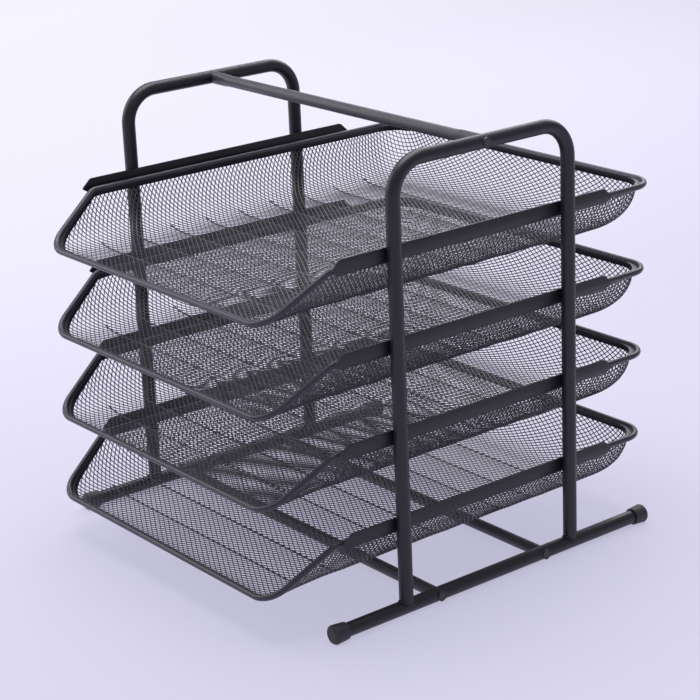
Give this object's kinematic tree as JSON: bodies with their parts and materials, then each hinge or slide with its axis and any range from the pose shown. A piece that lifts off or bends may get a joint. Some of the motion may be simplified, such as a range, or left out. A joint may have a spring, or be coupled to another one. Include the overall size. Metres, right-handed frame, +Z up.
{
  "type": "letter tray",
  "caption": "Desk letter tray: wire-rimmed steel mesh trays with low fronts, sliding on rails between two bent-tube side frames.",
  "frame": {"origin": "on the ground, under the middle of the whole object's box", "axes": "+Z up; the trays' low front edges face -Y and they slide out that way; +X is to the right seen from the front"},
  "size_m": [0.324, 0.3551, 0.323],
  "materials": {
    "frame": "satin black powder coat",
    "crossbars": "satin black powder coat",
    "rails": "satin black powder coat",
    "tray_rims": "satin black powder coat on round wire",
    "tray_mesh": "satin black powder coat on expanded mesh",
    "caps": "matt black moulded rubber",
    "screws": "black zinc plated"
  },
  "bodies": {
    "frame": {"left_arch": "frame", "left_foot_tube": "frame", "left_front_cap": "caps", "left_back_cap": "caps", "left_top_screw": "screws", "left_front_screw": "screws", "left_back_screw": "screws", "left_rail_1": "rails", "left_rail_2": "rails", "left_rail_3": "rails", "left_rail_4": "rails", "right_arch": "frame", "right_foot_tube": "frame", "right_front_cap": "caps", "right_back_cap": "caps", "right_top_screw": "screws", "right_front_screw": "screws", "right_back_screw": "screws", "right_rail_1": "rails", "right_rail_2": "rails", "right_rail_3": "rails", "right_rail_4": "rails", "top_crossbar": "crossbars", "front_crossbar": "crossbars", "back_crossbar": "crossbars"},
    "tray_1": {"tray_1_rim": "tray_rims", "tray_1_mesh": "tray_mesh"},
    "tray_2": {"tray_2_rim": "tray_rims", "tray_2_mesh": "tray_mesh"},
    "tray_3": {"tray_3_rim": "tray_rims", "tray_3_mesh": "tray_mesh"},
    "tray_4": {"tray_4_rim": "tray_rims", "tray_4_mesh": "tray_mesh"}
  },
  "joints": [
    {"name": "tray_1_slide", "type": "slide", "parent": "frame", "child": "tray_1", "axis": [0, -1, 0], "range_m": [0, 0.12]},
    {"name": "tray_2_slide", "type": "slide", "parent": "frame", "child": "tray_2", "axis": [0, -1, 0], "range_m": [-0.0026, 0.1174]},
    {"name": "tray_3_slide", "type": "slide", "parent": "frame", "child": "tray_3", "axis": [0, -1, 0], "range_m": [-0.0052, 0.1148]},
    {"name": "tray_4_slide", "type": "slide", "parent": "frame", "child": "tray_4", "axis": [0, -1, 0], "range_m": [-0.0078, 0.1122]}
  ]
}
